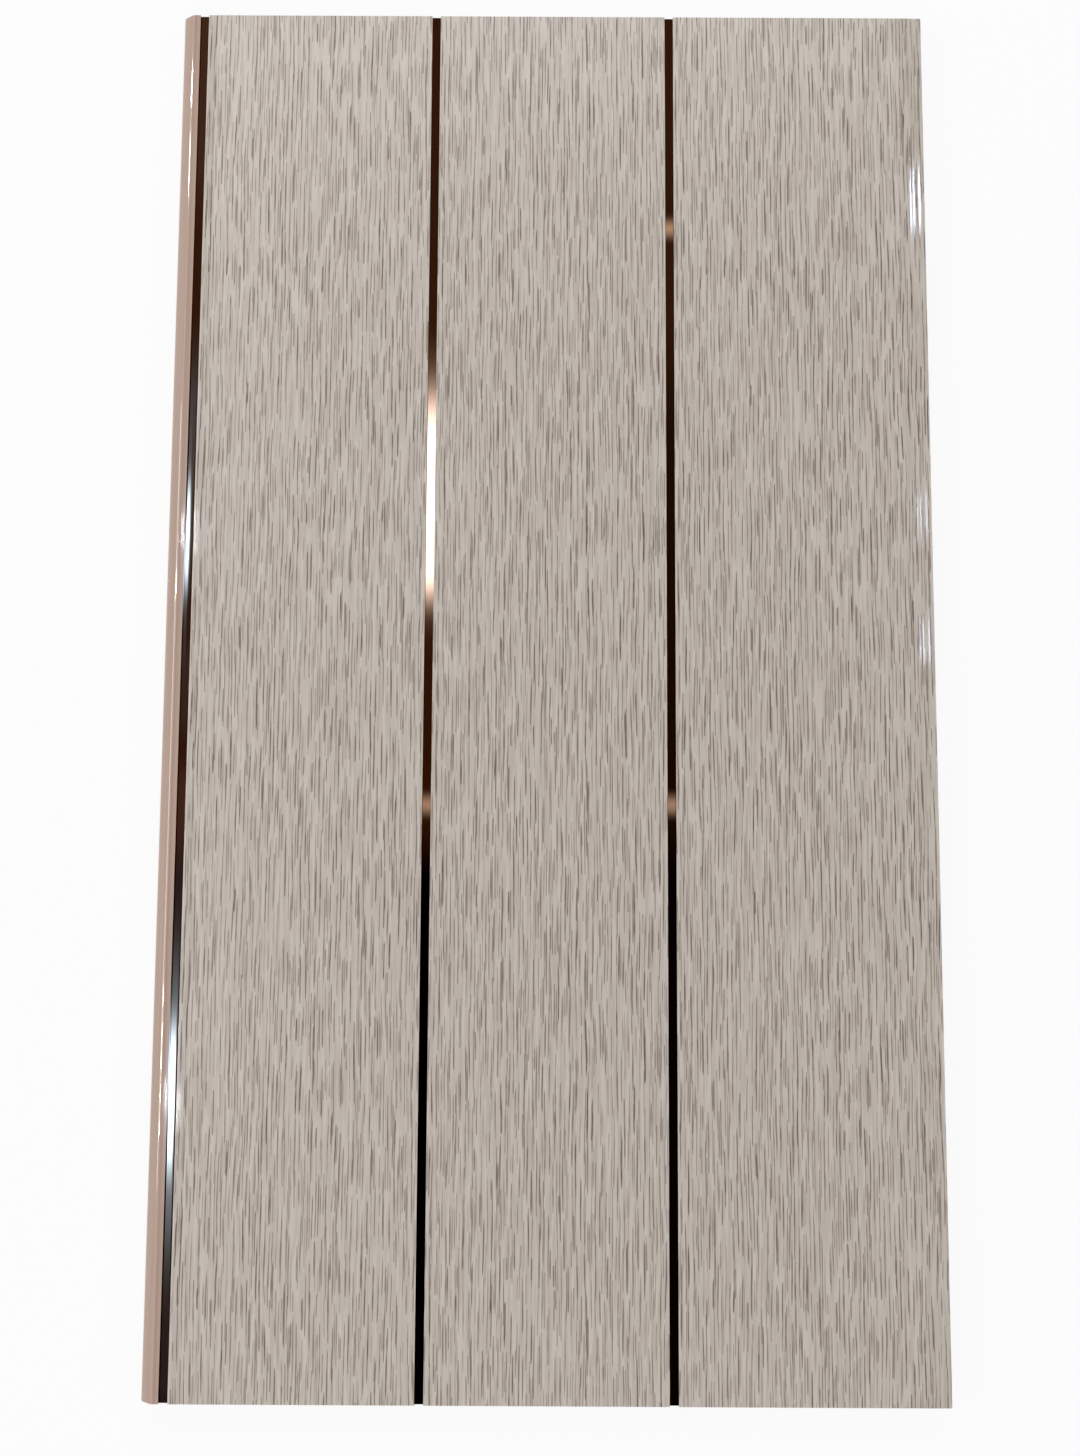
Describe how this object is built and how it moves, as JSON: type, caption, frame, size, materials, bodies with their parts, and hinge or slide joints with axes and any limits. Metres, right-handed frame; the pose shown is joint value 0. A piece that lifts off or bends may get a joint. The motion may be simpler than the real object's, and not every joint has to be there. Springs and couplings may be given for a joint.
{
  "type": "pvc ceiling panel",
  "caption": "Short cut length of hollow PVC ceiling panel: wood-look printed face with bronze foil grooves, tongue along one edge and slot along the other.",
  "frame": {"origin": "centre of the overall plan outline, on the back face that lies on the floor", "axes": "+X across the panel from the tongue to the slot, +Y along the extrusion, +Z from the back up to the printed face"},
  "size_m": [0.254, 0.457, 0.008],
  "materials": {
    "printed_pvc": "satin wood-look print on rigid PVC, bronze mirror foil in the grooves, bare tan PVC on the tongue, land, back and cut ends"
  },
  "bodies": {
    "root": {"ceiling_panel": "printed_pvc"}
  },
  "joints": []
}
